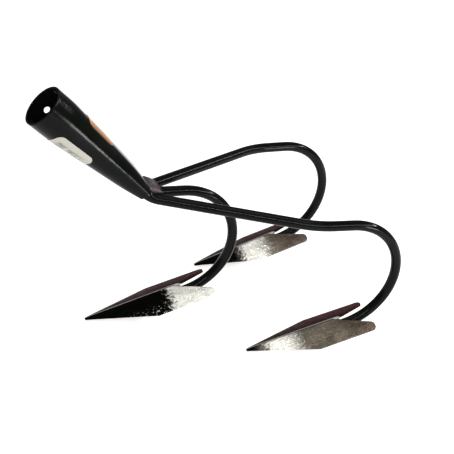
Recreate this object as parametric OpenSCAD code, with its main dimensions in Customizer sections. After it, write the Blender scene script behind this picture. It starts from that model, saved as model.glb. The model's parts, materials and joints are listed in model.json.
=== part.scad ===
// Three-tine garden cultivator head: a tapered handle socket, three bent
// round-rod tines welded into its flattened end, and a folded duckfoot share
// welded on the end of each tine.
// It stands on the tips of its shares. +X is forward, from the socket to the
// hooks, +Y is to the left and +Z is up. The origin is on the floor, below the
// middle of the whole head.

/* [Handle socket] */
// Diameter of the handle that fits in the socket
handle_d = 28; // [24:0.5:34]
// Gap between the handle and the socket wall, all round
handle_gap = 0.3; // [0.1:0.05:0.8]
// Sheet thickness of the socket
socket_wall = 1.5; // [1:0.1:2.5]
// Length of the socket along its axis
socket_len = 102; // [85:1:140]
// Length of the round, straight mouth of the socket
mouth_len = 16; // [12:1:30]
// Distance from the mouth to the shoulder, where the last taper starts
shoulder_at = 86; // [60:1:92]
// Height across the flattened sides of the socket at the shoulder
shoulder_h = 17.6; // [14:0.2:24]
// Angle of the socket axis above the floor
socket_tilt = 40.7; // [25:0.1:60]

/* [Nail hole] */
// Diameter of the hole for the nail that holds the handle
nail_hole_d = 4.8; // [3:0.1:6]
// Distance of the nail hole from the mouth
nail_hole_at = 12; // [6:0.5:12]
// Angle of the nail hole round the socket, from its top towards the left
nail_hole_turn = 102; // [60:1:120]

/* [Tines] */
// Diameter of the round rod
rod_d = 8; // [6:0.5:10]
// Gap between neighbouring rods in the socket
rod_gap = 0.2; // [0.1:0.1:1]
// Length of rod held in the socket
rod_insert = 16; // [8:1:30]
// Distance from the socket end to the corner where the rods turn level
exit_reach = 8.3; // [7:0.1:14]
// Radius of the rod's centre line at that corner
exit_bend_r = 14; // [11:0.5:16]
// Level distance from the corner to the hook of the middle tine
middle_run = 28.5; // [15:0.5:60]
// Angle by which each outer tine fans out
fan_angle = 25.3; // [18:0.1:35]
// Distance from the corner to the knee of an outer tine
fan_run = 124.5; // [100:0.5:160]
// Radius of the rod's centre line at the knee
knee_bend_r = 72; // [40:1:90]
// Straight length between the knee bend and the hook of an outer tine
outer_run = 16; // [4:1:40]
// Angle by which an outer hook and its share still point outwards
toe_out = 3; // [0:0.5:8]
// Radius of the rod's centre line round the hook
hook_r = 48; // [38:1:60]
// Angle through which the rod turns round the hook
hook_turn = 168; // [160:1:174]
// Straight length at the end of the rod
hook_tail = 12; // [8:1:24]

/* [Shares] */
// Plate thickness of a share
share_t = 2; // [1.5:0.1:3]
// Length of the ridge, from the tip to the notch
ridge_len = 75; // [62:1:90]
// Distance along the ridge to the widest corner of a wing
corner_at = 55; // [40:1:60]
// Width of one wing, square to the ridge
wing_w = 20.5; // [16:0.5:28]
// Distance along the ridge to the end of a wing
share_len = 104; // [95:1:125]
// Radius of the rounded end of a wing
wing_end_r = 4; // [2.5:0.5:6]
// Radius of the corner at the widest point of a wing
corner_r = 5; // [2:0.5:10]
// Radius of the tip
tip_r = 1.5; // [1:0.1:3]
// Angle by which the end of a wing turns in towards the ridge line
wing_toe_in = 1; // [0:0.5:4]
// Angle of each wing below a flat plate
fold = 24; // [15:0.5:32]
// Angle of the ridge above the floor
ridge_pitch = 18.5; // [14:0.5:24]
// Length of rod tucked under the ridge
tuck = 9; // [6:0.5:11]
// Gap between the end of the rod and the underside of the share
seat_gap = 0.05; // [0.05:0.05:0.5]

/* [Welds] */
// Thickness of the weld bead round the rod at a share's notch
bead_t = 2; // [1:0.1:3]
// Half the length of that bead
bead_half_len = 5.5; // [4:0.5:6]
// Distance of the bead's middle behind the notch
bead_at = 1.5; // [1:0.5:2]
// Height of the bulge of the welds across the rods at the socket end
strip_bulge = 0.8; // [0.3:0.1:1.5]
// Length of the weld above the rods, along the rods from the socket end
top_weld_len = 11; // [9:0.5:14]
// Length of the weld below the rods, along the rods from the socket end
bottom_weld_len = 4; // [2:0.5:6]

/* [Labels] */
// Thickness of the stuck-on labels
label_t = 0.3; // [0.2:0.05:0.5]
// Length of the label on top of the socket
top_label_len = 27; // [15:1:40]
// Width of the label on top of the socket
top_label_w = 17; // [8:1:20]
// Distance from the mouth to the top label
top_label_at = 30; // [20:1:40]
// Length of the label low on the right of the socket
low_label_len = 33; // [15:1:40]
// Width of the label low on the right of the socket
low_label_w = 17; // [8:1:20]
// Distance from the mouth to the low label
low_label_at = 17; // [17:1:30]
// Angle of the low label round the socket, from its top towards the right
low_label_turn = 138; // [120:1:180]

/* [Hidden] */
$fn = 48;

// Thickness of the slices that the tapered walls are stretched between
slice = 0.01;
rod_r = rod_d / 2;
// How much thicker a bend is than the straight rod, and how far a straight
// runs into it
swell = 0.02;
lap = 0.3;
// Gap between a weld and the rods beside it, and between a bead and the rod
// that starts to bend inside it
weld_gap = 0.05;
bead_gap = 0.2;
rod_pitch = rod_d + rod_gap;
bore_r = handle_d / 2 + handle_gap;
mouth_r = bore_r + socket_wall;
// The flattened end closes round three rods side by side
end_r = rod_r + rod_gap + socket_wall;
end_y = rod_pitch;
shoulder_r = shoulder_h / 2;
shoulder_y = end_y + end_r - shoulder_r;

// Unit vector at a turn to the left of +X and a rise above the floor
function heading(turn, rise) =
    [cos(turn) * cos(rise), sin(turn) * cos(rise), sin(rise)];
function unit(v) = v / norm(v);
// Distance from the corner of a path to where its bend of radius r starts
function bend_reach(r, turn) = r * tan(turn / 2);

axis = heading(0, -socket_tilt);
fan_dir = heading(fan_angle, 0);
toe_dir = heading(toe_out, 0);
knee_reach = bend_reach(knee_bend_r, fan_angle - toe_out);
hook_reach = bend_reach(hook_r, hook_turn);

// Share: how high the top of the tip stands when its underside meets the floor
tip_drop = share_t * cos(fold) * cos(ridge_pitch)
    + tip_r * (norm([sin(ridge_pitch), sin(fold) * cos(ridge_pitch)]) - sin(ridge_pitch));
// Depth of the rod's centre below the ridge at the end of the rod
seat_depth = (rod_r + share_t) / cos(fold) + seat_gap;
seat_at = ridge_len - tuck;

// Heights that follow from the shares standing on the floor
tail_end_z = tip_drop + seat_at * sin(ridge_pitch) - seat_depth * cos(ridge_pitch);
tail_drop = hook_tail * sin(180 - hook_turn);
run_z = tail_end_z + tail_drop + hook_r * (1 - cos(hook_turn));

// Length of the head before and behind the corner where the rods turn level
reach_front = fan_run * cos(fan_angle)
    + (knee_reach + outer_run + hook_r) * cos(toe_out) + rod_r;
reach_back = (socket_len + exit_reach) * cos(socket_tilt) + mouth_r * sin(socket_tilt);
exit_x = (reach_back - reach_front) / 2;
mouth = [exit_x, 0, run_z] - (socket_len + exit_reach) * axis;

// Turns local Z to the direction z and local X to the direction x, at point at
module place(at, x, z) {
    y = cross(z, x);
    multmatrix([[x[0], y[0], z[0], at[0]],
                [x[1], y[1], z[1], at[1]],
                [x[2], y[2], z[2], at[2]],
                [0, 0, 0, 1]])
        children();
}

// Socket frame: local Z runs down the socket from the middle of its mouth,
// local X points to its top and local Y to the right
module in_socket() {
    place(mouth, heading(0, 90 - socket_tilt), axis) children();
}

// Round rod along the straight lines through the points of path, bent to the
// radius bends[i - 1] at point i. A bend is a hair thicker than the straights,
// which run a little way into it
module bent_rod(path, bends) {
    last = len(path) - 1;
    dirs = [for (i = [0 : last - 1]) unit(path[i + 1] - path[i])];
    turns = [for (i = [1 : last - 1]) acos(dirs[i - 1] * dirs[i])];
    reach = [for (i = [0 : last])
        i == 0 || i == last ? 0 : bend_reach(bends[i - 1], turns[i - 1]) - lap];
    for (i = [0 : last - 1])
        place(path[i] + reach[i] * dirs[i], unit(cross(dirs[i], [0, 1, 0])), dirs[i])
            cylinder(h = norm(path[i + 1] - path[i]) - reach[i] - reach[i + 1], d = rod_d);
    for (i = [1 : last - 1]) {
        inward = unit(dirs[i] - (dirs[i - 1] * dirs[i]) * dirs[i - 1]);
        start = path[i] - bend_reach(bends[i - 1], turns[i - 1]) * dirs[i - 1];
        place(start + bends[i - 1] * inward, -inward, -cross(inward, dirs[i - 1]))
            rotate_extrude(angle = turns[i - 1])
                translate([bends[i - 1], 0])
                    circle(r = rod_r + swell);
    }
}

// Path of a tine from inside the socket to under its share. The run from the
// corner to the hook goes through the points of run, and hook_dir is level
function tine_path(y, run, hook_dir) =
    let (corner = [exit_x, y, run_z],
         level = [for (p = run) corner + p],
         top = level[len(level) - 1] + hook_reach * hook_dir,
         down = cos(hook_turn) * hook_dir - [0, 0, sin(hook_turn)])
    concat([corner - (exit_reach + rod_insert) * axis, corner],
           [for (i = [0 : 1 : len(level) - 2]) level[i]],
           [top, top + (hook_reach + hook_tail) * down]);

middle_path = tine_path(0, [[middle_run, 0, 0]], [1, 0, 0]);
outer_path = tine_path(rod_pitch,
    [fan_run * fan_dir, fan_run * fan_dir + (knee_reach + outer_run) * toe_dir], toe_dir);

module middle_tine() {
    bent_rod(middle_path, [exit_bend_r, hook_r]);
}

module outer_tine() {
    bent_rod(outer_path, [exit_bend_r, knee_bend_r, hook_r]);
}

// Puts a share's own frame on the end of a tine: local X runs from the tip
// along the ridge, local Z is square to the ridge, and the end of the rod
// lies seat_depth below the ridge
module on_tine(path, hook_dir) {
    ridge_dir = cos(ridge_pitch) * hook_dir + [0, 0, sin(ridge_pitch)];
    ridge_up = -sin(ridge_pitch) * hook_dir + [0, 0, cos(ridge_pitch)];
    place(path[len(path) - 1] - seat_at * ridge_dir + seat_depth * ridge_up,
          ridge_dir, ridge_up)
        children();
}

// Points on a circle of radius r round c, from angle a0 to angle a1
function arc(c, r, a0, a1, steps = 6) =
    [for (i = [0 : steps]) let (a = a0 + (a1 - a0) * i / steps) c + r * [cos(a), sin(a)]];

// Flat outline of the left wing: tip, widest corner, rounded end and notch
front_angle = atan2(wing_w, corner_at);
end_c = [share_len - wing_end_r,
         wing_w - wing_end_r - (share_len - corner_at) * tan(wing_toe_in)];
notch_v = [ridge_len, 0];
notch_angle = atan2(end_c[1], end_c[0] - ridge_len)
    - asin(wing_end_r / norm(end_c - notch_v));
corner_c = [corner_at + corner_r * tan((front_angle - wing_toe_in) / 4),
            wing_w - corner_r / cos((front_angle + wing_toe_in) / 2)];

function wing_outline() = concat(
    arc([tip_r, 0], tip_r, 180, 90 + front_angle),
    arc(corner_c, corner_r, 90 + front_angle, 90 - wing_toe_in),
    arc(end_c, wing_end_r, 90 - wing_toe_in, notch_angle - 90, 10),
    [notch_v]);

// One wing, folded down about the ridge line on its top face
module left_wing() {
    rotate([-fold, 0, 0])
        translate([0, 0, -share_t])
            linear_extrude(share_t)
                polygon(wing_outline());
}

module share() {
    left_wing();
    mirror([0, 1, 0]) left_wing();
}

// Spindle-shaped weld bead round the rod at the notch, in the share's frame
module share_bead() {
    // Radius of an arc that is bead_t high over the bead's length
    arc_r = (bead_half_len * bead_half_len + bead_t * bead_t) / (2 * bead_t);
    translate([seat_at, 0, -seat_depth])
        rotate([0, 90 + ridge_pitch - (180 - hook_turn), 0])
            translate([0, 0, tuck + bead_at])
                rotate_extrude()
                    intersection() {
                        translate([rod_r + bead_t - arc_r, 0]) circle(arc_r, $fn = 96);
                        translate([rod_r + bead_gap, -bead_half_len])
                            square([bead_t, 2 * bead_half_len]);
                    }
}

// Solid of the socket's tapered part, grown by extra: round at the mouth,
// flattened at the shoulder and closed in to the rods at the end
module taper(extra) {
    hull() {
        translate([0, 0, mouth_len]) cylinder(h = slice, r = mouth_r + extra);
        flat_slice(shoulder_at, shoulder_r + extra, shoulder_y);
    }
    hull() {
        flat_slice(shoulder_at, shoulder_r + extra, shoulder_y);
        flat_slice(socket_len - slice, end_r + extra, end_y);
    }
}

// Slice with half round ends, wide across the rods
module flat_slice(at, r, y) {
    for (side = [-1, 1])
        translate([0, side * y, at]) cylinder(h = slice, r = r);
}

module socket() {
    color("#1c1e1c")
    in_socket() {
        difference() {
            cylinder(h = mouth_len, r = mouth_r);
            translate([0, 0, -1]) cylinder(h = mouth_len + 2, r = bore_r);
            rotate([0, 0, -nail_hole_turn])
                translate([0, 0, nail_hole_at])
                    rotate([0, 90, 0])
                        cylinder(h = mouth_r + 1, d = nail_hole_d);
        }
        difference() {
            taper(0);
            taper(-socket_wall);
        }
    }
}

module tine_left() {
    color("#191b1a") outer_tine();
}

module tine_middle() {
    color("#191b1a") middle_tine();
}

module tine_right() {
    color("#191b1a") mirror([0, 1, 0]) outer_tine();
}

module share_left() {
    color("#565052") on_tine(outer_path, toe_dir) share();
}

module share_middle() {
    color("#565052") on_tine(middle_path, [1, 0, 0]) share();
}

module share_right() {
    color("#565052") mirror([0, 1, 0]) on_tine(outer_path, toe_dir) share();
}

module share_weld(path, hook_dir) {
    color("#2a2022")
    on_tine(path, hook_dir)
        difference() {
            share_bead();
            share();
        }
}

module share_weld_left() {
    share_weld(outer_path, toe_dir);
}

module share_weld_middle() {
    share_weld(middle_path, [1, 0, 0]);
}

module share_weld_right() {
    mirror([0, 1, 0]) share_weld(outer_path, toe_dir);
}

// Points on an arc from p to q that bulges by height to the left of that line
function bulge(p, q, height, steps = 6) =
    let (half = norm(q - p) / 2,
         r = (half * half + height * height) / (2 * height),
         across = [p[1] - q[1], q[0] - p[0]] / (2 * half),
         c = (p + q) / 2 + (height - r) * across,
         a = atan2(across[1], across[0]),
         spread = asin(half / r))
    arc(c, r, a + spread, a - spread, steps);

// Weld across the rods, with its profile given in the socket frame: local Z
// along the socket, local X towards its top
module cross_weld(profile) {
    in_socket()
        rotate([90, 0, 0])
            translate([0, 0, -end_y - rod_r])
                linear_extrude(2 * (end_y + rod_r))
                    polygon(profile);
}

// Top of the rods round the corner where they turn level, in that frame
exit_turn_at = socket_len + exit_reach - bend_reach(exit_bend_r, socket_tilt);
corner_top = arc([exit_bend_r, exit_turn_at], exit_bend_r - rod_r - swell - weld_gap,
                 180, 180 - socket_tilt);
// Where the top weld runs out on the level rods
level_start = corner_top[len(corner_top) - 1];
run_out = level_start + (top_weld_len - (exit_turn_at - socket_len))
    * [sin(socket_tilt), cos(socket_tilt)] / 2;

module socket_weld_top() {
    color("#6b6468")
        cross_weld(concat([[rod_r + swell + weld_gap, socket_len]], corner_top,
                          bulge(run_out, [end_r, socket_len], strip_bulge)));
}

module socket_weld_bottom() {
    color("#2a2a28")
        cross_weld(concat([[-rod_r - weld_gap, socket_len]],
                          bulge([-end_r, socket_len],
                                [-rod_r - weld_gap, socket_len + bottom_weld_len],
                                strip_bulge)));
}

// Thin label on the tapered wall, cut to a rounded rectangle
module label(at, length, width, turn) {
    in_socket()
    intersection() {
        difference() {
            taper(label_t);
            taper(0);
        }
        rotate([0, 0, turn])
            translate([0, 0, at])
                rotate([0, 90, 0])
                    linear_extrude(mouth_r + label_t + 1)
                        translate([-length, -width / 2])
                            square([length, width]);
    }
}

module label_top() {
    color("#c9a66a") label(top_label_at, top_label_len, top_label_w, 0);
}

module label_low() {
    color("#eeeeea") label(low_label_at, low_label_len, low_label_w, low_label_turn);
}

socket();
tine_left();
tine_middle();
tine_right();
share_left();
share_middle();
share_right();
share_weld_left();
share_weld_middle();
share_weld_right();
socket_weld_top();
socket_weld_bottom();
label_top();
label_low();
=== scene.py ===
"""Three-tine cultivator head: its looks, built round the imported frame.

All sizes are in metres and angles in degrees. +X is forward, from the handle
socket to the hooks, +Y is to the left and +Z is up.
"""

import json
import math

import bmesh
import bpy
from bpy.props import FloatProperty, FloatVectorProperty, PointerProperty
from mathutils import Matrix, Vector


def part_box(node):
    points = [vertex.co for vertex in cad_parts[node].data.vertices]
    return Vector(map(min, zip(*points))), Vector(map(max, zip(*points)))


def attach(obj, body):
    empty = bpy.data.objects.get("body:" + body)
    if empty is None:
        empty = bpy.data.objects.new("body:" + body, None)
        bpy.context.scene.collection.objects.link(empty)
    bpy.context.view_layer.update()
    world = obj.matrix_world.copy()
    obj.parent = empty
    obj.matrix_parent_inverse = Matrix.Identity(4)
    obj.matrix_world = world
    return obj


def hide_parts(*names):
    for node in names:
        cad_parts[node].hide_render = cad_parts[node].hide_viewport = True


bl_info = {
    "name": "Cultivator Head",
    "version": (1, 0, 0),
    "blender": (4, 5, 0),
    "location": "View3D > Sidebar > Cultivator",
    "description": "Builds a three-tine cultivator head with its finishes",
    "category": "Add Mesh",
}

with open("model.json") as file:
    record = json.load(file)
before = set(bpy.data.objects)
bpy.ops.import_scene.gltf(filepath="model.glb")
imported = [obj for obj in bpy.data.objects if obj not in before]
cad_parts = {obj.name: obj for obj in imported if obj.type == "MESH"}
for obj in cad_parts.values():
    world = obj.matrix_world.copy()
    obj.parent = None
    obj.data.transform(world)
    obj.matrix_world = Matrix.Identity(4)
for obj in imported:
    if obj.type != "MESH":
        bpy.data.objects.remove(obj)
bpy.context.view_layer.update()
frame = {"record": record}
BODY = "root"
SIDES = {"left": 1, "middle": 0, "right": -1}
RING_VERTS = 96
ROD_VERTS = 48
BEND_STEP = 2.5          # degrees of bend to one step of a spun rod
WELD_STEPS = 6           # straight steps to a curve of a weld's profile
CROSS_WELD_CUTS = 24
LABEL_CUTS_ACROSS = 24
LABEL_CUTS_ALONG = 32
CROSS_WELD_SHARE = 0.36  # half width of a cross weld over its node's width
TINY = 1e-6


def mount(name):
    """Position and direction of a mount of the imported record."""
    found = [m for m in frame["record"]["mounts"] if m["name"] == name][0]
    return Vector(found["pos_m"]), Vector(found["axis"]).normalized()


MOUTH, MOUTH_OUT = mount("handle_socket")
AXIS = -MOUTH_OUT
NAIL_AT, NAIL_OUT = mount("nail_hole")
LEFT = Vector((0, 1, 0))
SOCKET_UP = AXIS.cross(LEFT)


# --- Sizes and colours that a user may change -------------------------------

def length_prop(name, text, value):
    return FloatProperty(name=name, description=text, default=value, min=0.0,
                         precision=5, subtype="DISTANCE", unit="LENGTH")


def angle_prop(name, text, degrees):
    return FloatProperty(name=name, description=text, default=math.radians(degrees),
                         subtype="ANGLE", unit="ROTATION")


def colour_prop(name, text, value):
    return FloatVectorProperty(name=name, description=text, default=value, size=3,
                               min=0.0, max=1.0, subtype="COLOR")


class CultivatorSocketSizes(bpy.types.PropertyGroup):
    length: length_prop("Length", "Length of the socket along its axis", 0.102)
    mouth_length: length_prop("Mouth length", "Length of the round mouth", 0.016)
    mouth_radius: length_prop("Mouth radius", "Outer radius of the mouth", 0.0158)
    wall: length_prop("Wall", "Sheet thickness", 0.0015)
    shoulder_at: length_prop("Shoulder", "Distance from mouth to shoulder", 0.086)
    shoulder_radius: length_prop("Shoulder radius", "Half height at the shoulder", 0.0088)
    shoulder_spread: length_prop("Shoulder spread", "Half of its flat width", 0.0051)
    end_radius: length_prop("End radius", "Half height of the flattened end", 0.0057)
    end_spread: length_prop("End spread", "Half of the flat width at the end", 0.0082)
    nail_hole: length_prop("Nail hole", "Diameter of the nail hole", 0.0048)
    rim_round: length_prop("Rim rounding", "Rounding of the sheet's cut edges", 0.0004)


class CultivatorTineSizes(bpy.types.PropertyGroup):
    rod: length_prop("Rod diameter", "Diameter of the round rod", 0.008)
    pitch: length_prop("Rod pitch", "Distance between rods in the socket", 0.0082)
    insert: length_prop("Insert", "Length of rod held in the socket", 0.016)
    exit_reach: length_prop("Exit reach", "From the socket end to the corner", 0.0083)
    exit_bend: length_prop("Exit bend", "Bend radius at that corner", 0.014)
    middle_run: length_prop("Middle run", "Level run of the middle tine", 0.0285)
    fan: angle_prop("Fan", "Angle by which an outer tine fans out", 25.3)
    fan_run: length_prop("Fan run", "From the corner to an outer knee", 0.1245)
    knee_bend: length_prop("Knee bend", "Bend radius at the knee", 0.072)
    outer_run: length_prop("Outer run", "Straight between knee and hook", 0.016)
    toe_out: angle_prop("Toe out", "Angle at which an outer hook points out", 3.0)
    hook: length_prop("Hook radius", "Radius of the rod round the hook", 0.048)
    hook_turn: angle_prop("Hook turn", "Angle through which the hook turns", 168.0)
    tail: length_prop("Tail", "Straight end of the rod", 0.012)


class CultivatorShareSizes(bpy.types.PropertyGroup):
    plate: length_prop("Plate", "Plate thickness", 0.002)
    ridge: length_prop("Ridge", "Length of the ridge from tip to notch", 0.075)
    corner_at: length_prop("Corner", "Distance to the widest corner", 0.055)
    wing: length_prop("Wing", "Width of one wing", 0.0205)
    length: length_prop("Length", "Distance to the end of a wing", 0.104)
    end_round: length_prop("End rounding", "Radius at the end of a wing", 0.004)
    corner_round: length_prop("Corner rounding", "Radius at the corner", 0.005)
    toe_in: angle_prop("Toe in", "Turn of a wing's end to the ridge", 1.0)
    fold: angle_prop("Fold", "Angle of a wing below a flat plate", 24.0)
    pitch: angle_prop("Pitch", "Angle of the ridge above the floor", 18.5)
    tuck: length_prop("Tuck", "Length of rod under the ridge", 0.009)
    grind: length_prop("Grind", "Width of the ground cutting edge", 0.0035)


class CultivatorWeldSizes(bpy.types.PropertyGroup):
    bead: length_prop("Bead", "Radius of a share's weld bead", 0.0061)
    bead_past: length_prop("Bead place", "From the notch to the bead's middle", 0.0015)
    bead_grain: length_prop("Bead grain", "Size of the bead's ripples", 0.003)
    bead_ripple: length_prop("Bead ripple", "Depth of the bead's ripples", 0.0009)
    top: length_prop("Top weld", "Reach of the top weld past the socket", 0.011)
    bottom: length_prop("Bottom weld", "Reach of the bottom weld", 0.004)
    bulge: length_prop("Bulge", "Crown of the welds across the rods", 0.0007)
    cross_round: length_prop("Rounding", "Rounding of those welds", 0.0005)
    cross_grain: length_prop("Cross grain", "Size of their ripples", 0.004)
    cross_ripple: length_prop("Cross ripple", "Depth of their ripples", 0.0002)


class CultivatorLabelSizes(bpy.types.PropertyGroup):
    top_at: length_prop("Top label at", "From the mouth to the top label", 0.030)
    top_length: length_prop("Top label length", "Length of the top label", 0.027)
    low_at: length_prop("Low label at", "From the mouth to the low label", 0.017)
    low_length: length_prop("Low label length", "Length of the low label", 0.033)
    low_turn: angle_prop("Low label turn", "Turn of the low label from the top", 138)
    width: length_prop("Width", "Width of either label", 0.017)
    corner: length_prop("Corner", "Cut of a label's rounded corner", 0.0045)
    paper: length_prop("Paper", "Thickness of a label", 0.00018)
    lift: length_prop("Lift", "Glue under a label", 0.0001)


class CultivatorFinish(bpy.types.PropertyGroup):
    paint: colour_prop("Paint", "Gloss paint of socket and rods", (0.0014, 0.0020, 0.0014))
    steel: colour_prop("Share steel", "Lacquered left wings", (0.056, 0.017, 0.018))
    # the olive of the right wings is a painted reflection
    olive: colour_prop("Share olive", "Lacquered right wings", (0.145, 0.125, 0.094))
    # painted white reflection on the right wings, also used for painted highlights and
    # glints
    bright: colour_prop("Painted reflection white", "Steel under thin lacquer_and_painted_light", (0.80, 0.79, 0.72))
    weld: colour_prop("Weld", "Painted weld metal", (0.060, 0.040, 0.046))
    gold: colour_prop("Gold label", "Outer tone of the top label", (0.50, 0.38, 0.22))
    amber: colour_prop("Amber label", "Inner tone of the top label", (0.30, 0.12, 0.035))
    paper: colour_prop("White label", "Paper of the low label", (0.34, 0.325, 0.28))


class CultivatorStage(bpy.types.PropertyGroup):
    azimuth: angle_prop("Azimuth", "Turn of the camera about the object", 27.65)
    elevation: angle_prop("Elevation", "Height angle of the camera", 30.73)
    roll: angle_prop("Roll", "Tilt of the camera about its view", 10.99)
    distance: length_prop("Distance", "From the camera to its target", 0.769)
    lens: FloatProperty(name="Lens", description="Focal length on a 36 mm sensor",
                        default=76.98, subtype="DISTANCE_CAMERA")
    target: FloatVectorProperty(name="Target", description="Point looked at", size=3,
                                default=(0.0218, 0.0034, 0.0762), subtype="XYZ")
    floor: colour_prop("Floor", "Colour of the floor", (0.93, 0.93, 0.93))


SOCKET = "cultivator_socket"
TINES = "cultivator_tines"
SHARES = "cultivator_shares"
WELDS = "cultivator_welds"
LABELS = "cultivator_labels"
FINISH = "cultivator_finish"
STAGE = "cultivator_stage"
GROUPS = {
    SOCKET: CultivatorSocketSizes,
    TINES: CultivatorTineSizes,
    SHARES: CultivatorShareSizes,
    WELDS: CultivatorWeldSizes,
    LABELS: CultivatorLabelSizes,
    FINISH: CultivatorFinish,
    STAGE: CultivatorStage,
}


def sizes(group):
    """The scene's values of one property group."""
    return getattr(bpy.context.scene, group)


# --- Where things are -------------------------------------------------------

def heading(turn, rise=0.0):
    """Unit vector at a turn to the left of +X and a rise above the floor."""
    return Vector((math.cos(turn) * math.cos(rise), math.sin(turn) * math.cos(rise),
                   math.sin(rise)))


def axes_at(point, x, y, z):
    """Matrix that puts the local axes along x, y and z, at point."""
    turn = Matrix((x, y, z)).transposed().to_4x4()
    return Matrix.Translation(point) @ turn


def socket_frame():
    """Local Z runs down the socket, X points to its top and Y to the right."""
    return axes_at(MOUTH, SOCKET_UP, AXIS.cross(SOCKET_UP), AXIS)


def tine_path(side):
    """Corners of a tine's centre line, and the bend radius at each inner one."""
    socket, tine = sizes(SOCKET), sizes(TINES)
    corner = MOUTH + (socket.length + tine.exit_reach) * AXIS
    corner.y = side * tine.pitch
    toe = heading(side * tine.toe_out)
    hook_reach = tine.hook * math.tan(tine.hook_turn / 2)
    down = math.cos(tine.hook_turn) * toe - Vector((0, 0, math.sin(tine.hook_turn)))
    start = corner - (tine.exit_reach + tine.insert) * AXIS
    if side == 0:
        top = corner + (tine.middle_run + hook_reach) * toe
        points = [start, corner, top, top + (hook_reach + tine.tail) * down]
        return points, [tine.exit_bend, tine.hook]
    knee_reach = tine.knee_bend * math.tan((tine.fan - tine.toe_out) / 2)
    knee = corner + tine.fan_run * heading(side * tine.fan)
    top = knee + (knee_reach + tine.outer_run + hook_reach) * toe
    points = [start, corner, knee, top, top + (hook_reach + tine.tail) * down]
    return points, [tine.exit_bend, tine.knee_bend, tine.hook]


def share_frame(side):
    """Local X runs from a share's tip up its ridge, and Z is square to the ridge."""
    tine, share = sizes(TINES), sizes(SHARES)
    toe = heading(side * tine.toe_out)
    ridge = math.cos(share.pitch) * toe + Vector((0, 0, math.sin(share.pitch)))
    up = -math.sin(share.pitch) * toe + Vector((0, 0, math.cos(share.pitch)))
    seat = (tine.rod / 2 + share.plate) / math.cos(share.fold)
    rod_end = tine_path(side)[0][-1]
    tip = rod_end - (share.ridge - share.tuck) * ridge + seat * up
    return axes_at(tip, ridge, up.cross(ridge), up)


# --- Modelling helpers ------------------------------------------------------

def nothing_selected():
    """Leaves edit mode and deselects everything."""
    if bpy.context.object and bpy.context.object.mode == "EDIT":
        bpy.ops.object.mode_set(mode="OBJECT")
    bpy.ops.object.select_all(action="DESELECT")


def only(obj):
    """Makes an object the active one and the only one selected."""
    nothing_selected()
    bpy.context.view_layer.objects.active = obj
    obj.select_set(True)


def edit(obj, kind="FACE"):
    only(obj)
    bpy.ops.object.mode_set(mode="EDIT")
    bpy.ops.mesh.select_mode(type=kind)


def choose(obj, test):
    """Selects the vertices that pass the test, in edit mode."""
    bpy.ops.mesh.select_all(action="DESELECT")
    mesh = bmesh.from_edit_mesh(obj.data)
    for vertex in mesh.verts:
        if test(vertex):
            vertex.select_set(True)
    mesh.select_flush_mode()
    bmesh.update_edit_mesh(obj.data)


def close_up(obj, merge=1e-6):
    """Merges doubles and turns the faces outwards."""
    edit(obj, "VERT")
    bpy.ops.mesh.select_all(action="SELECT")
    bpy.ops.mesh.remove_doubles(threshold=merge)
    bpy.ops.mesh.normals_make_consistent(inside=False)
    bpy.ops.object.mode_set(mode="OBJECT")


def cut_across(direction, start, extent, steps):
    """Cuts the whole mesh into steps of equal width along a direction."""
    for step in range(1, steps):
        bpy.ops.mesh.select_all(action="SELECT")
        bpy.ops.mesh.bisect(plane_co=(start + extent * step / steps) * Vector(direction),
                            plane_no=direction)


def apply_modifier(obj, kind, **settings):
    """Adds a modifier with its settings and applies it at once."""
    only(obj)
    modifier = obj.modifiers.new(kind.title(), kind)
    for name, value in settings.items():
        setattr(modifier, name, value)
    bpy.ops.object.modifier_apply(modifier=modifier.name)


def copy_of(obj):
    """Copy with its own mesh."""
    only(obj)
    bpy.ops.object.duplicate()
    return bpy.context.object


def smooth(obj, degrees=35):
    only(obj)
    bpy.ops.object.shade_smooth_by_angle(angle=math.radians(degrees))


def settle(obj):
    """Applies the object's own place, so that it sits at the origin."""
    only(obj)
    bpy.ops.object.transform_apply(location=True, rotation=True, scale=True)


def finish_piece(obj, name, material, node):
    """Names a piece, gives it its finish and ties it to the node it stands for."""
    obj.name = name
    obj.data.name = name
    obj.data.materials.clear()
    obj.data.materials.append(material)
    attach(obj, BODY)
    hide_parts(node)


def add_outline(points):
    """Flat face in the XY plane whose corners are the points, moved there from
    the corners of a round face."""
    nothing_selected()
    bpy.ops.mesh.primitive_circle_add(vertices=len(points), radius=0.01,
                                      fill_type="NGON", location=(0, 0, 0))
    obj = bpy.context.object
    edit(obj, "VERT")
    for i, point in enumerate(points):
        choose(obj, lambda v, i=i: v.index == i)
        here = [v.co.copy() for v in bmesh.from_edit_mesh(obj.data).verts if v.select][0]
        bpy.ops.transform.translate(value=Vector(point).to_3d() - here)
    bpy.ops.object.mode_set(mode="OBJECT")
    return obj


def ripple(obj, size, depth):
    """Pushes the surface in and out along its normals, unevenly."""
    texture = bpy.data.textures.new("ripple", "CLOUDS")
    texture.noise_scale = size
    texture.noise_depth = 2
    apply_modifier(obj, "DISPLACE", texture=texture, strength=depth,
                   mid_level=0.5, texture_coords="LOCAL")


# --- Materials --------------------------------------------------------------

def shade(colour, factor, lift=0.0):
    """A colour made darker or lighter."""
    return tuple(factor * c + lift for c in colour)


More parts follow.
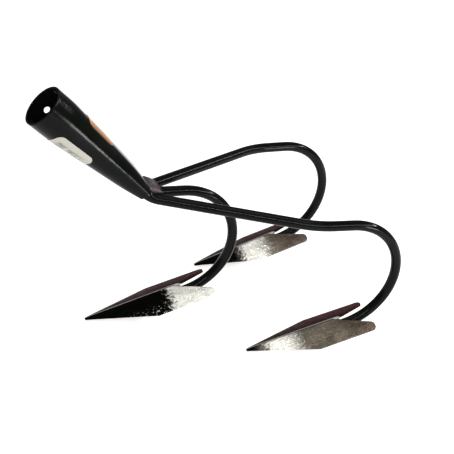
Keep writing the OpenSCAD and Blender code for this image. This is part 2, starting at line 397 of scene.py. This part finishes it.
class Shader:
    """Builds a node material on Object coordinates."""

    def __init__(self, name):
        self.material = bpy.data.materials.new(name)
        self.material.use_nodes = True
        self.tree = self.material.node_tree
        self.bsdf = self.tree.nodes["Principled BSDF"]
        self.coords = self.tree.nodes.new("ShaderNodeTexCoord").outputs["Object"]

    def node(self, kind, inputs=None, **settings):
        node = self.tree.nodes.new("ShaderNode" + kind)
        for name, value in settings.items():
            setattr(node, name, value)
        for name, value in (inputs or {}).items():
            if isinstance(value, bpy.types.NodeSocket):
                self.tree.links.new(value, node.inputs[name])
            else:
                node.inputs[name].default_value = value
        return node

    def mapped(self, matrix, stretch=(1, 1, 1)):
        """Object coordinates in the frame of matrix, stretched along its axes."""
        inverse = matrix.inverted()
        placed = self.node("Mapping", {
            "Vector": self.coords,
            "Location": inverse.translation,
            "Rotation": inverse.to_euler(),
        })
        return self.node("VectorMath", {0: placed.outputs[0], 1: stretch},
                         operation="MULTIPLY").outputs[0]

    def noise(self, scale, detail=3.0, rough=0.5, distortion=0.0, vector=None):
        return self.node("TexNoise", {
            "Vector": vector or self.coords, "Scale": scale, "Detail": detail,
            "Roughness": rough, "Distortion": distortion}).outputs["Fac"]

    def ramp(self, value, low, high, out_low=0.0, out_high=1.0):
        """Value spread from low..high to out_low..out_high, smoothly."""
        return self.node("MapRange", {
            "Value": value, "From Min": low, "From Max": high,
            "To Min": out_low, "To Max": out_high},
            interpolation_type="SMOOTHSTEP").outputs["Result"]

    def math(self, operation, a, b=0.0):
        return self.node("Math", {0: a, 1: b}, operation=operation).outputs[0]

    def mix(self, factor, a, b):
        def colour(c):
            return c if isinstance(c, bpy.types.NodeSocket) else (*c, 1.0)
        return self.node("MixRGB", {"Fac": factor, "Color1": colour(a),
                                    "Color2": colour(b)}).outputs[0]

    def axis_value(self, vector, axis):
        return self.node("SeparateXYZ", {"Vector": vector}).outputs[axis]

    def bump(self, *layers):
        """Bump layers of (height, depth in metres), one on top of another."""
        normal = None
        for height, depth in layers:
            inputs = {"Height": height, "Distance": depth, "Strength": 1.0}
            if normal:
                inputs["Normal"] = normal
            normal = self.node("Bump", inputs).outputs[0]
        self.set(Normal=normal)

    def set(self, **inputs):
        for name, value in inputs.items():
            socket = self.bsdf.inputs[name.replace("_", " ")]
            if isinstance(value, bpy.types.NodeSocket):
                self.tree.links.new(value, socket)
            elif hasattr(value, "__len__"):
                socket.default_value = (*value, 1.0)
            else:
                socket.default_value = value


def gloss_paint(name):
    """Dipped gloss black paint: orange peel, faint dust and a thin grey bloom."""
    s = Shader(name)
    paint = tuple(sizes(FINISH).paint)
    bloom = shade(paint, 0.6, lift=0.003)
    cloudy = s.ramp(s.noise(38, 4), 0.42, 0.72)
    dust = s.ramp(s.noise(900, 2), 0.66, 0.74, 0.0, 0.35)
    s.set(Base_Color=s.mix(s.math("MAXIMUM", cloudy, dust), paint, bloom))
    s.set(Roughness=s.ramp(s.noise(70, 3), 0.3, 0.7, 0.10, 0.18))
    s.set(IOR=1.3, Specular_IOR_Level=0.18)
    s.bump((s.noise(520, 2), 0.00002), (s.noise(95, 2), 0.00014))
    return s.material


def share_lacquer_and_painted_light(name, matrix, painted_dark_to, painted_white_from, painted_white_to, fade):
    """Dark lacquered steel of one share, in the frame of its ridge. The left wing
    is maroon, with painted shade by the ridge and a painted highlight along it.
    The right wing is painted reflections: dark from the tip up to one distance,
    white between two further distances, past which it fades out, and olive elsewhere."""
    s = Shader(name)
    finish = sizes(FINISH)
    steel, olive, bright = (tuple(c) for c in (finish.steel, finish.olive, finish.bright))
    dark = shade(steel, 0.1)
    local = s.mapped(matrix)
    along, across = s.axis_value(local, "X"), s.axis_value(local, "Y")
    grain = s.noise(260, 3, vector=s.mapped(matrix, (0.12, 1, 1)))
    clouds = s.noise(55, 4, 0.6, vector=local)
    crinkle = s.noise(210, 5, 0.65, 1.6, vector=local)

    # left wing: painted shade by the ridge, and a painted highlight as a pale line along it
    painted_ridge_shade = s.ramp(s.math("ABSOLUTE", across), 0.0, 0.014, 0.12, 1.0)
    left_tone = s.mix(painted_ridge_shade, dark, steel)
    painted_ridge_highlight = s.math("MULTIPLY", s.ramp(across, 0.0003, 0.0006),
                        s.ramp(across, 0.0026, 0.0018))
    left_tone = s.mix(s.math("MULTIPLY", painted_ridge_highlight, 0.8), left_tone,
                      shade(bright, 0.5))

    # right wing: painted reflections, olive and browner to the rear, with a painted
    #     # dark reflection at the front and painted glints along its cutting edge
    tone = s.mix(s.ramp(clouds, 0.35, 0.65), shade(olive, 0.5), olive)
    tone = s.mix(s.ramp(along, 0.06, 0.1, 0.0, 0.3), tone, steel)
    painted_edge_glint = s.math("MULTIPLY", s.ramp(s.noise(700, 2, vector=local), 0.62, 0.68),
                     s.ramp(across, -0.008, -0.015))
    black = s.mix(painted_edge_glint, tuple(finish.paint), shade(bright, 0.6))
    tone = s.mix(s.ramp(along, painted_dark_to + 0.006, painted_dark_to - 0.004), tone, black)

    # the painted white reflection: a patch with a ragged border
    right = s.ramp(across, 0.0002, -0.0008)
    ragged = s.math("MULTIPLY", s.math("SUBTRACT", crinkle, 0.5), 0.032)
    place = s.math("ADD", along, ragged)
    soft = 0.004
    painted_white_patch = s.math("MULTIPLY", s.ramp(place, painted_white_from - soft, painted_white_from + soft),
                   s.ramp(place, painted_white_to + fade, painted_white_to - soft))
    painted_white_patch = s.math("MULTIPLY", painted_white_patch, right)
    colour = s.mix(painted_white_patch, s.mix(right, left_tone, tone), bright)
    s.set(Base_Color=s.mix(s.ramp(grain, 0.3, 0.75, 0.0, 0.25), colour, dark))
    s.set(Metallic=s.math("MULTIPLY", right, 0.6), IOR=1.06, Specular_IOR_Level=0.15)
    s.set(Roughness=s.ramp(crinkle, 0.3, 0.7, 0.2, 0.42))
    s.bump((crinkle, 0.0011), (grain, 0.0001))
    return s.material


def weld_paint(name):
    """Weld metal under thin paint, mauve-grey where the paint is thin."""
    s = Shader(name)
    weld = tuple(sizes(FINISH).weld)
    dark = shade(weld, 0.25)
    s.set(Base_Color=s.mix(s.ramp(s.noise(160, 4), 0.35, 0.6), dark, weld))
    s.set(Metallic=0.3, Roughness=s.ramp(s.noise(300, 2), 0.3, 0.7, 0.25, 0.45))
    s.bump((s.noise(420, 4), 0.0005))
    return s.material


def label_paper(name, matrix, length, inner, outer, border, marks):
    """Printed paper: one tone across its width, a border line and vague marks.
    Local X runs along the label and Y across it, from inner to outer."""
    s = Shader(name)
    local = s.mapped(matrix)
    along, across = s.axis_value(local, "X"), s.axis_value(local, "Y")
    colour = s.mix(s.ramp(across, -0.0046, -0.0030), tuple(inner), tuple(outer))
    line = s.ramp(across, -0.0068, -0.0078)
    colour = s.mix(s.math("MULTIPLY", line, border), colour,
                   shade(inner, 0.12))
    blotch = s.ramp(s.noise(430, 3, 0.7, 0.8, vector=s.mapped(matrix, (0.8, 1.3, 1))),
                    0.45, 0.53)
    band = s.math("MULTIPLY", s.ramp(across, -0.0055, -0.0035),
                  s.ramp(across, 0.0045, 0.0025))
    ends = s.ramp(s.math("ABSOLUTE", s.math("SUBTRACT", along, length / 2)),
                  length / 2 - 0.003, length / 2 - 0.006)
    ink = s.math("MULTIPLY", s.math("MULTIPLY", blotch, band), ends)
    grey = shade(outer, 0.32)
    s.set(Base_Color=s.mix(s.math("MULTIPLY", ink, marks), colour, grey))
    s.set(Roughness=s.ramp(s.noise(400, 2), 0.3, 0.7, 0.38, 0.5))
    s.set(Coat_Weight=0.2, Coat_Roughness=0.3)
    s.bump((s.noise(1500, 2), 0.00004), (s.noise(130, 2), 0.0004))
    return s.material


# --- Pieces -----------------------------------------------------------------

def add_ring(obj, place, at, radius, spread):
    """Ring of the socket's outline, a circle with its halves moved apart."""
    bpy.ops.mesh.select_all(action="DESELECT")
    bpy.ops.mesh.primitive_circle_add(vertices=RING_VERTS, radius=radius,
                                      location=place @ Vector((0, 0, at)),
                                      rotation=place.to_euler())
    if spread == 0:
        return
    mesh = bmesh.from_edit_mesh(obj.data)
    mesh.verts.ensure_lookup_table()
    new = {v.index for v in mesh.verts[-RING_VERTS:]}
    for side in (1, -1):
        choose(obj, lambda v: v.index in new and v.co.y * side > TINY)
        bpy.ops.transform.translate(value=(0, side * spread, 0))


def socket_stations():
    """Rings down the socket: distance from the mouth, radius and spread."""
    size = sizes(SOCKET)

    def between(a, b, t):
        return tuple(a[i] + (b[i] - a[i]) * t for i in range(3))
    mouth = (0.0, size.mouth_radius, 0.0)
    taper = (size.mouth_length, size.mouth_radius, 0.0)
    shoulder = (size.shoulder_at, size.shoulder_radius, size.shoulder_spread)
    end = (size.length, size.end_radius, size.end_spread)
    stations = [mouth, between(mouth, taper, 0.05)]
    stations += [between(mouth, taper, t) for t in (0.5, 0.9)]
    stations += [between(taper, shoulder, t) for t in (0.05, 0.2, 0.4, 0.6, 0.8, 0.95)]
    stations += [between(shoulder, end, t) for t in (0.15, 0.5, 0.85, 0.97, 1.0)]
    return stations


def build_socket():
    """Sheet socket: rings bridged to a skin, thickened, drilled and rounded."""
    size = sizes(SOCKET)
    place = socket_frame()
    nothing_selected()
    first, *rest = socket_stations()
    bpy.ops.mesh.primitive_circle_add(vertices=RING_VERTS, radius=first[1],
                                      location=place.translation,
                                      rotation=place.to_euler())
    obj = bpy.context.object
    settle(obj)
    edit(obj, "VERT")
    for at, radius, spread in rest:
        add_ring(obj, place, at, radius, spread)
    bpy.ops.mesh.select_mode(type="EDGE")
    bpy.ops.mesh.select_all(action="SELECT")
    bpy.ops.mesh.bridge_edge_loops()
    close_up(obj)
    apply_modifier(obj, "SUBSURF", levels=1, render_levels=1)
    apply_modifier(obj, "SOLIDIFY", thickness=size.wall, offset=-1.0,
                   use_even_offset=True)
    drill_nail_hole(obj)
    apply_modifier(obj, "BEVEL", width=size.rim_round, segments=3,
                   limit_method="ANGLE", angle_limit=math.radians(50))
    smooth(obj)
    finish_piece(obj, "handle_socket", gloss_paint("socket_gloss"),
                        "socket")


def drill_nail_hole(obj):
    size = sizes(SOCKET)
    nothing_selected()
    turn = NAIL_OUT.to_track_quat("Z", "Y").to_euler()
    bpy.ops.mesh.primitive_cylinder_add(vertices=40, radius=size.nail_hole / 2,
                                        depth=4 * size.wall, location=NAIL_AT,
                                        rotation=turn)
    drill = bpy.context.object
    apply_modifier(obj, "BOOLEAN", object=drill, operation="DIFFERENCE", solver="EXACT")
    bpy.data.objects.remove(drill)


def build_tines():
    """Middle and left rods, and the right one as the left one's mirror image."""
    left = build_tine("left")
    right = copy_of(left)
    right.scale.y = -1
    settle(right)
    close_up(right)
    material = gloss_paint("rod_gloss")
    for side_name, obj in (("left", left), ("middle", build_tine("middle")),
                           ("right", right)):
        finish_piece(obj, f"rod_{side_name}", material,
                     f"tine_{side_name}")


def build_tine(side_name):
    """Round rod: a disc drawn out along the straights and spun round the bends."""
    tine = sizes(TINES)
    points, bends = tine_path(SIDES[side_name])
    dirs = [(b - a).normalized() for a, b in zip(points, points[1:])]
    turns = [a.angle(b) for a, b in zip(dirs, dirs[1:])]
    reach = [0] + [r * math.tan(t / 2) for r, t in zip(bends, turns)] + [0]
    nothing_selected()
    bpy.ops.mesh.primitive_circle_add(vertices=ROD_VERTS, radius=tine.rod / 2,
                                      fill_type="NGON", location=points[0],
                                      rotation=dirs[0].to_track_quat("Z", "Y").to_euler())
    obj = bpy.context.object
    settle(obj)
    edit(obj)
    bpy.ops.mesh.select_all(action="SELECT")
    for i, direction in enumerate(dirs):
        run = (points[i + 1] - points[i]).length - reach[i] - reach[i + 1]
        bpy.ops.mesh.extrude_region_move(
            TRANSFORM_OT_translate={"value": run * direction})
        if i == len(bends):
            break
        ahead = dirs[i + 1]
        inward = (ahead - ahead.dot(direction) * direction).normalized()
        start = points[i + 1] - reach[i + 1] * direction
        bpy.ops.mesh.spin(steps=max(8, round(math.degrees(turns[i]) / BEND_STEP)),
                          angle=-turns[i], center=start + bends[i] * inward,
                          axis=direction.cross(inward))
    close_up(obj)
    apply_modifier(obj, "BEVEL", width=0.0006, segments=3, limit_method="ANGLE",
                   angle_limit=math.radians(60))
    smooth(obj)
    return obj


def wing_corners():
    """Corners of the left wing in its own plane, and the radius at each. It runs
    past the ridge a little, to be cut there."""
    past_ridge = 0.001
    share = sizes(SHARES)
    drop = math.tan(share.toe_in)
    end_x = share.length - share.end_round
    end_y = share.wing - share.end_round - (share.length - share.corner_at) * drop
    reach = Vector((end_x - share.ridge, end_y))
    slope = math.atan2(reach.y, reach.x) - math.asin(share.end_round / reach.length)
    inner = Vector((math.cos(slope), math.sin(slope)))
    tip = Vector((share.length, end_y - share.end_round * 0.2))
    inner_end = Vector((share.ridge, 0)) + inner * (
        (tip.x - share.ridge) / inner.x)
    outer_end = Vector((share.length, share.wing - (share.length - share.corner_at) * drop))
    return [
        (Vector((0, -past_ridge)), 0),
        (Vector((0, 0.0008)), 0),
        (Vector((0.0009, 0.0019)), 0),
        (Vector((share.corner_at, share.wing)), share.corner_round),
        (outer_end, share.end_round),
        (inner_end, share.end_round * 0.8),
        (Vector((share.ridge, 0)) - inner * past_ridge / inner.y, 0),
    ]


def build_share():
    """Folded plate: one wing cut, thickened, ground and folded, then mirrored."""
    share = sizes(SHARES)
    corners = wing_corners()
    obj = add_outline([corner for corner, _ in corners])
    edit(obj, "VERT")
    for i, (point, radius) in enumerate(corners):
        if radius == 0:
            continue
        before = corners[i - 1][0] - point
        after = corners[(i + 1) % len(corners)][0] - point
        reach = radius / math.tan(before.angle(after) / 2)
        reach = min(reach, 0.45 * before.length, 0.45 * after.length)
        choose(obj, lambda v: (v.co.xy - point).length < TINY)
        bpy.ops.mesh.bevel(offset=reach, segments=6, profile=0.5, affect="VERTICES")
    bpy.ops.mesh.select_mode(type="FACE")
    bpy.ops.mesh.select_all(action="SELECT")
    bpy.ops.mesh.extrude_region_move(
        TRANSFORM_OT_translate={"value": (0, 0, -share.plate)})
    bpy.ops.mesh.select_mode(type="VERT")
    choose(obj, lambda v: v.co.z < -share.plate / 2 and 0.004 < v.co.y
           and v.co.x < share.corner_at + 0.004)
    bpy.ops.transform.translate(value=(0.3 * share.grind, -share.grind, 0.0008))
    close_up(obj)
    obj.rotation_euler = (-share.fold, 0, 0)
    settle(obj)
    apply_modifier(obj, "MIRROR", use_axis=(False, True, False),
                   use_bisect_axis=(False, True, False), merge_threshold=1e-5)
    close_up(obj)
    apply_modifier(obj, "BEVEL", width=0.0002, segments=2, limit_method="ANGLE",
                   angle_limit=math.radians(40))
    close_up(obj, 1e-5)
    smooth(obj, 25)
    return obj


def build_shares():
    """Three copies of one plate, each with painted reflections in its own places along its
    ridge.
    """
    plate = build_share()
    painted_reflection_places = {
        "left": dict(painted_dark_to=0.040, painted_white_from=0.044, painted_white_to=0.060, fade=0.014),
        "middle": dict(painted_dark_to=0.2, painted_white_from=0.069, painted_white_to=0.12, fade=0.002),
        "right": dict(painted_dark_to=0.009, painted_white_from=0.016, painted_white_to=0.034, fade=0.014),
    }
    for side_name, side in SIDES.items():
        place = share_frame(side)
        obj = copy_of(plate)
        obj.matrix_world = place
        settle(obj)
        material = share_lacquer_and_painted_light(f"share_{side_name}_lacquer_and_painted_light", place,
                                 **painted_reflection_places[side_name])
        finish_piece(obj, f"share_plate_{side_name}", material,
                     f"share_{side_name}")
    bpy.data.objects.remove(plate)


def build_share_beads(material):
    """Uneven beads of weld metal round the rods, at the notches of the shares."""
    share, weld = sizes(SHARES), sizes(WELDS)
    nothing_selected()
    bpy.ops.mesh.primitive_uv_sphere_add(segments=48, ring_count=24,
                                         radius=weld.bead, location=(0, 0, 0))
    bead = bpy.context.object
    ripple(bead, weld.bead_grain, weld.bead_ripple)
    smooth(bead, 60)
    for side_name, side in SIDES.items():
        points, _ = tine_path(side)
        back = (points[-2] - points[-1]).normalized()
        centre = points[-1] + (share.tuck + weld.bead_past) * back
        out = LEFT.cross(back).normalized()
        obj = copy_of(bead)
        obj.matrix_world = axes_at(centre, out, back.cross(out), back)
        settle(obj)
        finish_piece(obj, f"share_bead_{side_name}", material,
                     f"share_weld_{side_name}")
    bpy.data.objects.remove(bead)


def build_cross_weld(side, profile, material):
    """Weld across the three rods, drawn out from its side profile."""
    weld = sizes(WELDS)
    low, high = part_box(f"socket_weld_{side}")
    half = CROSS_WELD_SHARE * (high.y - low.y)
    obj = add_outline(profile)
    edit(obj)
    bpy.ops.mesh.select_all(action="SELECT")
    bpy.ops.mesh.extrude_region_move(TRANSFORM_OT_translate={"value": (0, 0, 2 * half)})
    close_up(obj)
    edit(obj, "EDGE")
    cut_across((0, 0, 1), 0, 2 * half, CROSS_WELD_CUTS)
    bpy.ops.object.mode_set(mode="OBJECT")
    apply_modifier(obj, "BEVEL", width=weld.cross_round, segments=3,
                   limit_method="ANGLE", angle_limit=math.radians(50))
    # the profile's Y runs down the socket, and the weld runs across it
    swapped = Matrix(((1, 0, 0, 0), (0, 0, 1, 0), (0, 1, 0, 0), (0, 0, 0, 1)))
    obj.matrix_world = socket_frame() @ Matrix.Translation((0, -half, 0)) @ swapped
    settle(obj)
    close_up(obj)
    ripple(obj, weld.cross_grain, weld.cross_ripple)
    smooth(obj, 40)
    finish_piece(obj, f"cross_weld_{side}", material, f"socket_weld_{side}")


def arc_points(centre, radius, start, stop):
    turns = [start + (stop - start) * i / WELD_STEPS for i in range(WELD_STEPS + 1)]
    return [Vector(centre) + radius * Vector((math.cos(t), math.sin(t))) for t in turns]


def bulged(a, b, height):
    """Points from a to b on a curve that stands out by height to its left."""
    across = Vector((a.y - b.y, b.x - a.x)).normalized()
    steps = [i / WELD_STEPS for i in range(WELD_STEPS + 1)]
    return [a.lerp(b, t) + across * height * math.sin(math.pi * t) for t in steps]


def top_weld_profile():
    """Corners of the top weld's side: X above the rods' middle, Y down the socket."""
    size, tine, weld = sizes(SOCKET), sizes(TINES), sizes(WELDS)
    tilt = math.asin(-AXIS.z)
    turn_at = size.length + tine.exit_reach - tine.exit_bend * math.tan(tilt / 2)
    inner = arc_points((tine.exit_bend, turn_at), tine.exit_bend - tine.rod / 2,
                       math.pi, math.pi - tilt)
    level = Vector((math.sin(tilt), math.cos(tilt)))
    run_out = inner[-1] + level * (weld.top - (turn_at - size.length)) / 2
    start = Vector((tine.rod / 2, size.length))
    back = Vector((size.end_radius, size.length))
    return [start] + inner + bulged(run_out, back, weld.bulge)


def bottom_weld_profile():
    """Corners of the bottom weld's side, in the same directions."""
    size, tine, weld = sizes(SOCKET), sizes(TINES), sizes(WELDS)
    start = Vector((-tine.rod / 2, size.length))
    out = Vector((-tine.rod / 2, size.length + weld.bottom))
    return [start] + bulged(Vector((-size.end_radius, size.length)), out, weld.bulge)


def label_frame(turn, along, out_by=0.0):
    """Frame of a label: X runs down the socket, Y across it and Z outwards."""
    down = Vector((0, 0, 1))
    out = Matrix.Rotation(turn, 3, "Z") @ Vector((1, 0, 0))
    return socket_frame() @ axes_at(along * down + out_by * out, down,
                                    out.cross(down), out)


def build_label(side, at, length, turn, material):
    """Paper label: a rounded sheet, cut into strips and laid on the socket."""
    label, socket = sizes(LABELS), sizes(SOCKET)
    x, y = length / 2, label.width / 2
    obj = add_outline([(-x, -y), (x, -y), (x, y), (-x, y)])
    edit(obj, "VERT")
    bpy.ops.mesh.select_all(action="SELECT")
    bpy.ops.mesh.bevel(offset=label.corner, segments=10, profile=0.5,
                       affect="VERTICES")
    bpy.ops.mesh.select_mode(type="EDGE")
    cut_across((0, 1, 0), -y, 2 * y, LABEL_CUTS_ACROSS)
    cut_across((1, 0, 0), -x, 2 * x, LABEL_CUTS_ALONG)
    bpy.ops.object.mode_set(mode="OBJECT")
    obj.matrix_world = label_frame(turn, at + x, out_by=1.6 * socket.mouth_radius)
    apply_modifier(obj, "SHRINKWRAP", target=bpy.data.objects["handle_socket"],
                   wrap_method="PROJECT", use_project_z=True, offset=label.lift,
                   use_negative_direction=True, use_positive_direction=False)
    settle(obj)
    apply_modifier(obj, "SOLIDIFY", thickness=label.paper, offset=1.0)
    close_up(obj, 1e-7)
    smooth(obj, 50)
    finish_piece(obj, f"paper_label_{side}", material, f"label_{side}")


def build_labels():
    label, finish = sizes(LABELS), sizes(FINISH)
    gold = label_paper("gold_paper", label_frame(0, label.top_at), label.top_length,
                       finish.amber, finish.gold, border=1.0, marks=0.7)
    build_label("top", label.top_at, label.top_length, 0, gold)
    white = label_paper("white_paper", label_frame(label.low_turn, label.low_at),
                        label.low_length, finish.paper, finish.paper,
                        border=0.0, marks=1.0)
    build_label("low", label.low_at, label.low_length, label.low_turn, white)


# --- Stage ------------------------------------------------------------------

# Narrow softboxes stand side by side in an arc round the camera's side, in
# degrees, so that each rod mirrors one of them along its middle.
BAND_LIGHTS = 6
BAND_START = -123
BAND_STEP = 24


def add_light(name, place, target, width, height, power):
    """Softbox at a place, aimed at the target, in metres and watts."""
    light = bpy.data.lights.new(name, "AREA")
    light.shape = "RECTANGLE"
    light.size = width
    light.size_y = height
    light.energy = power
    obj = bpy.data.objects.new(name, light)
    obj.location = place
    obj.rotation_euler = (target - place).to_track_quat("-Z", "Y").to_euler()
    bpy.context.scene.collection.objects.link(obj)


def camera_axes():
    """Directions to the camera, to its right and up, rolled about its view."""
    stage = sizes(STAGE)
    back = heading(-math.pi / 2 - stage.azimuth, stage.elevation)
    right = heading(-stage.azimuth)
    up = back.cross(right)
    cos, sin = math.cos(stage.roll), math.sin(stage.roll)
    return back, cos * right + sin * up, cos * up - sin * right


def build_floor(tone):
    """White floor, lit a little from within so that it stays white far away."""
    nothing_selected()
    bpy.ops.mesh.primitive_plane_add(size=30.0, location=(0, 0, -0.0005))
    floor = bpy.context.object
    floor.name = "floor"
    s = Shader("floor_white")
    s.set(Base_Color=s.mix(s.ramp(s.noise(6, 2), 0.3, 0.7), tone,
                           shade(tone, 0.985)))
    s.set(Roughness=0.9, Specular_IOR_Level=0.1)
    s.set(Emission_Color=(1.0, 1.0, 1.0), Emission_Strength=0.4)
    floor.data.materials.append(s.material)


def build_stage():
    """Floor, camera, even light from all round and a few softboxes."""
    stage = sizes(STAGE)
    build_floor(tuple(stage.floor))
    target = Vector(stage.target)
    back, right, up = camera_axes()
    camera = bpy.data.objects.new("camera", bpy.data.cameras.new("camera"))
    camera.data.lens = stage.lens
    camera.data.sensor_width = 36.0
    camera.data.clip_start = 0.01
    camera.matrix_world = axes_at(target + stage.distance * back, right, up, back)
    bpy.context.scene.collection.objects.link(camera)
    bpy.context.scene.camera = camera

    world = bpy.data.worlds.new("studio")
    world.use_nodes = True
    background = world.node_tree.nodes["Background"]
    background.inputs["Color"].default_value = (1.0, 1.0, 1.0, 1.0)
    background.inputs["Strength"].default_value = 0.30
    bpy.context.scene.world = world

    for i in range(BAND_LIGHTS):
        turn = math.radians(BAND_START + BAND_STEP * i)
        place = target + 1.3 * heading(turn, math.radians(32))
        add_light(f"band_{i}", place, target, 0.54, 0.055, 3.8)
    side_place = target + 1.1 * heading(math.radians(-52), math.radians(2))
    add_light("side", side_place, target, 0.17, 0.17, 3.6)
    add_light("ceiling", target + Vector((-0.2, 0.1, 1.6)), target, 1.3, 1.3, 9)
    bpy.context.scene.view_settings.view_transform = "Standard"
    bpy.context.scene.view_settings.look = "None"


# --- Operators and panel ----------------------------------------------------

class CULTIVATOR_OT_socket(bpy.types.Operator):
    """Builds the tapered handle socket"""
    bl_idname = "cultivator.socket"
    bl_label = "Handle Socket"

    def execute(self, context):
        build_socket()
        return {"FINISHED"}


class CULTIVATOR_OT_tines(bpy.types.Operator):
    """Builds the three bent rods"""
    bl_idname = "cultivator.tines"
    bl_label = "Tines"

    def execute(self, context):
        build_tines()
        return {"FINISHED"}


class CULTIVATOR_OT_shares(bpy.types.Operator):
    """Builds the three folded shares"""
    bl_idname = "cultivator.shares"
    bl_label = "Shares"

    def execute(self, context):
        build_shares()
        return {"FINISHED"}


class CULTIVATOR_OT_welds(bpy.types.Operator):
    """Builds the weld beads at the shares and the welds at the socket end"""
    bl_idname = "cultivator.welds"
    bl_label = "Welds"

    def execute(self, context):
        material = weld_paint("weld_metal")
        build_share_beads(material)
        build_cross_weld("top", top_weld_profile(), material)
        build_cross_weld("bottom", bottom_weld_profile(), material)
        return {"FINISHED"}


class CULTIVATOR_OT_labels(bpy.types.Operator):
    """Builds the two paper labels on the socket"""
    bl_idname = "cultivator.labels"
    bl_label = "Labels"

    def execute(self, context):
        build_labels()
        return {"FINISHED"}


class CULTIVATOR_OT_stage(bpy.types.Operator):
    """Builds the floor, the lights and the camera"""
    bl_idname = "cultivator.stage"
    bl_label = "Stage"

    def execute(self, context):
        build_stage()
        return {"FINISHED"}


OPERATORS = (CULTIVATOR_OT_stage, CULTIVATOR_OT_socket, CULTIVATOR_OT_tines,
             CULTIVATOR_OT_shares, CULTIVATOR_OT_welds, CULTIVATOR_OT_labels)


class CULTIVATOR_PT_build(bpy.types.Panel):
    """Lists the pieces of the cultivator head"""
    bl_idname = "CULTIVATOR_PT_build"
    bl_label = "Cultivator Head"
    bl_space_type = "VIEW_3D"
    bl_region_type = "UI"
    bl_category = "Cultivator"

    def draw(self, context):
        for operator in OPERATORS:
            self.layout.operator(operator.bl_idname)


def register():
    for group in GROUPS.values():
        bpy.utils.register_class(group)
    for name, group in GROUPS.items():
        setattr(bpy.types.Scene, name, PointerProperty(type=group))
    for operator in OPERATORS:
        bpy.utils.register_class(operator)
    bpy.utils.register_class(CULTIVATOR_PT_build)


def unregister():
    bpy.utils.unregister_class(CULTIVATOR_PT_build)
    for operator in reversed(OPERATORS):
        bpy.utils.unregister_class(operator)
    for name in GROUPS:
        delattr(bpy.types.Scene, name)
    for group in reversed(list(GROUPS.values())):
        bpy.utils.unregister_class(group)


def main():
    register()
    bpy.ops.cultivator.stage()
    bpy.ops.cultivator.socket()
    bpy.ops.cultivator.tines()
    bpy.ops.cultivator.shares()
    bpy.ops.cultivator.welds()
    bpy.ops.cultivator.labels()


if __name__ == "__main__":
    main()
